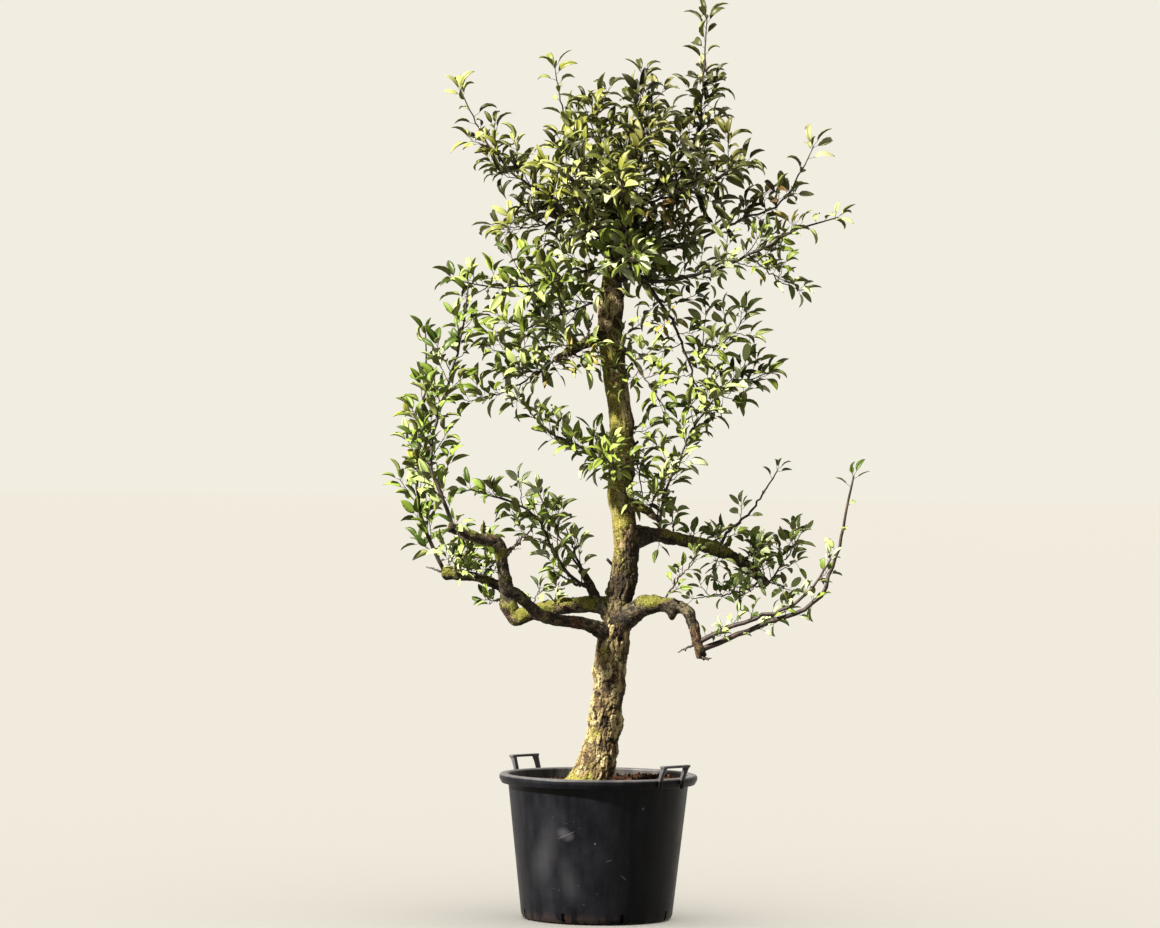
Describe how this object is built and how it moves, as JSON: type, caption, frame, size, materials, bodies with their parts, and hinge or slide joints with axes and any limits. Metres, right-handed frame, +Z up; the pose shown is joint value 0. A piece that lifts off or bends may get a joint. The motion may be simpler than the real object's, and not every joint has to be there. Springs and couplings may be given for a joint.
{
  "type": "dwarf apple tree in a pot",
  "caption": "Leafy dwarf apple tree with a leaning mossy trunk, crooked boughs and an open crown of separate shoots, rooted in a black nursery pot with carrying handles.",
  "frame": {"origin": "centre of the pot's flat underside, on the ground", "axes": "+Z up from the ground to the top of the tree, -Y towards the viewer of the front, +X to the viewer's right"},
  "size_m": [1.339, 0.845, 2.5076],
  "materials": {
    "pot_plastic": "satin, scuffed",
    "soil": "moist, crumbly",
    "bark": "rough",
    "mossy_bark": "rough, mossy",
    "apple_leaf": "satin"
  },
  "bodies": {
    "root": {"bough_crown_front": "mossy_bark", "bough_crown_left": "mossy_bark", "bough_crown_low": "mossy_bark", "bough_crown_rear": "mossy_bark", "bough_crown_right": "mossy_bark", "bough_crown_side": "mossy_bark", "bough_left_front_arm": "mossy_bark", "bough_left_front_rise": "mossy_bark", "bough_left_front_run": "mossy_bark", "bough_left_rear_arm": "mossy_bark", "bough_left_rear_curl": "mossy_bark", "bough_left_rear_run": "mossy_bark", "bough_left_stub": "mossy_bark", "bough_middle_left": "mossy_bark", "bough_right_front_drop": "mossy_bark", "bough_right_front_run": "mossy_bark", "bough_right_rear": "mossy_bark", "bough_right_small": "mossy_bark", "centre_left_shoot": "apple_leaf", "centre_shoot": "apple_leaf", "crown_front": "apple_leaf", "crown_front_left": "apple_leaf", "crown_front_right": "apple_leaf", "crown_rear": "apple_leaf", "crown_rear_right": "apple_leaf", "crown_top": "apple_leaf", "crown_top_left": "apple_leaf", "droop": "apple_leaf", "far_right": "apple_leaf", "front_left": "apple_leaf", "handle_left_rear": "pot_plastic", "handle_right_front": "pot_plastic", "inner_shoot": "apple_leaf", "inner_whip": "apple_leaf", "leader": "apple_leaf", "left_shoot": "apple_leaf", "left_tuft": "apple_leaf", "left_wide": "apple_leaf", "low_front": "apple_leaf", "low_rear": "apple_leaf", "low_shoot": "apple_leaf", "low_whip": "apple_leaf", "middle_front": "apple_leaf", "middle_left": "apple_leaf", "middle_rear": "apple_leaf", "outer_whip": "apple_leaf", "pot": "pot_plastic", "right_hang": "apple_leaf", "right_middle": "apple_leaf", "right_rise": "apple_leaf", "right_shoot": "apple_leaf", "right_tuft": "apple_leaf", "small_shoot": "apple_leaf", "soil": "soil", "stub_shoot": "apple_leaf", "trunk": "bark", "under_shoot": "apple_leaf", "up_shoot": "apple_leaf", "upper_left": "apple_leaf", "upper_left_rear": "apple_leaf"}
  },
  "joints": []
}
